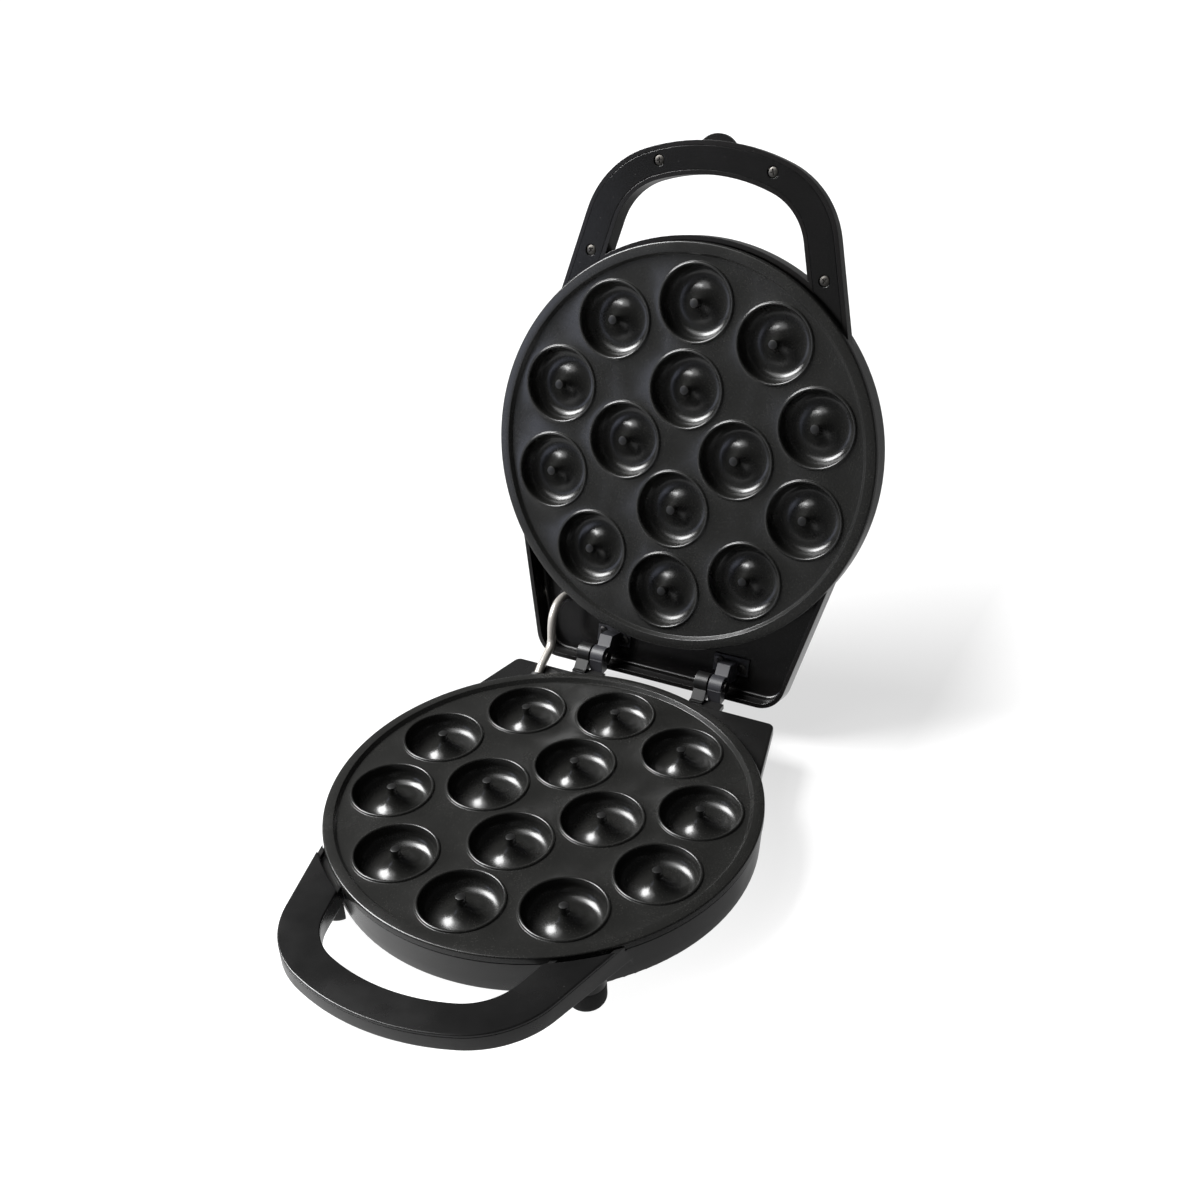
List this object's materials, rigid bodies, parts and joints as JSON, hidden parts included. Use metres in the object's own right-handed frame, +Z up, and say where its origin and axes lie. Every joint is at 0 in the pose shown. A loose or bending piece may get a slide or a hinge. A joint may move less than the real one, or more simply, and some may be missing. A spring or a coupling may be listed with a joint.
{
  "type": "donut maker",
  "caption": "Electric donut maker with a hinged lid, ring-shaped cavities in two round non-stick plates, loop handles and rubber feet.",
  "frame": {"origin": "on the floor, under the middle of the open appliance's bounding box", "axes": "+Z up, +Y from the handle to the hinge, +X to the right seen from the handle"},
  "size_m": [0.221, 0.3879, 0.3032],
  "materials": {
    "black_plastic": "satin black moulded plastic",
    "nonstick": "black non-stick coating on a cast plate",
    "screw_steel": "plain steel",
    "element_steel": "heat-darkened steel tube",
    "sheet_metal": "bare sheet",
    "rubber": "matt",
    "bush_rubber": "matt",
    "sleeve_braid": "silver-grey heat sleeve",
    "wire_insulation": "silicone insulation",
    "red_lens": "clear red",
    "green_lens": "clear green",
    "lamp_glass": "clear glass",
    "electrics": "moulded"
  },
  "bodies": {
    "base": {"base_housing": "black_plastic", "base_handle_cover": "black_plastic", "base_handle_screws": "screw_steel", "bottom_cover": "black_plastic", "bottom_cover_screws": "screw_steel", "lower_plate": "nonstick", "lower_plate_screws": "screw_steel", "lower_element": "element_steel", "lower_element_clamps": "sheet_metal", "lower_clamp_screws": "screw_steel", "lower_reflector": "sheet_metal", "lower_reflector_screw": "screw_steel", "thermostat": "electrics", "thermal_fuse": "electrics", "terminal_block": "electrics", "base_wires": "wire_insulation", "cord_gland": "bush_rubber", "base_sleeve_bush": "bush_rubber", "sleeve": "sleeve_braid", "hinge_pin_left": "screw_steel", "hinge_pin_right": "screw_steel", "foot_front_left": "rubber", "foot_front_right": "rubber", "foot_rear_left": "rubber", "foot_rear_right": "rubber"},
    "lid": {"lid_housing": "black_plastic", "lid_top_panel": "black_plastic", "lid_handle_cover": "black_plastic", "lid_handle_screws": "screw_steel", "upper_plate": "nonstick", "upper_plate_screws": "screw_steel", "upper_element": "element_steel", "upper_element_clamps": "sheet_metal", "upper_clamp_screws": "screw_steel", "upper_reflector": "sheet_metal", "upper_reflector_screw": "screw_steel", "lid_finger_left": "black_plastic", "lid_finger_right": "black_plastic", "lid_finger_screws": "screw_steel", "lid_sleeve_bush": "bush_rubber", "power_lens": "red_lens", "ready_lens": "green_lens", "power_lamp": "lamp_glass", "ready_lamp": "lamp_glass", "lid_wires": "wire_insulation"}
  },
  "joints": [
    {"name": "lid_hinge", "type": "hinge", "parent": "base", "child": "lid", "pos_m": [0, 0.0894, 0.0304], "axis": [1, 0, 0], "range_deg": [0, 107.8], "deforming": ["sleeve"]}
  ]
}
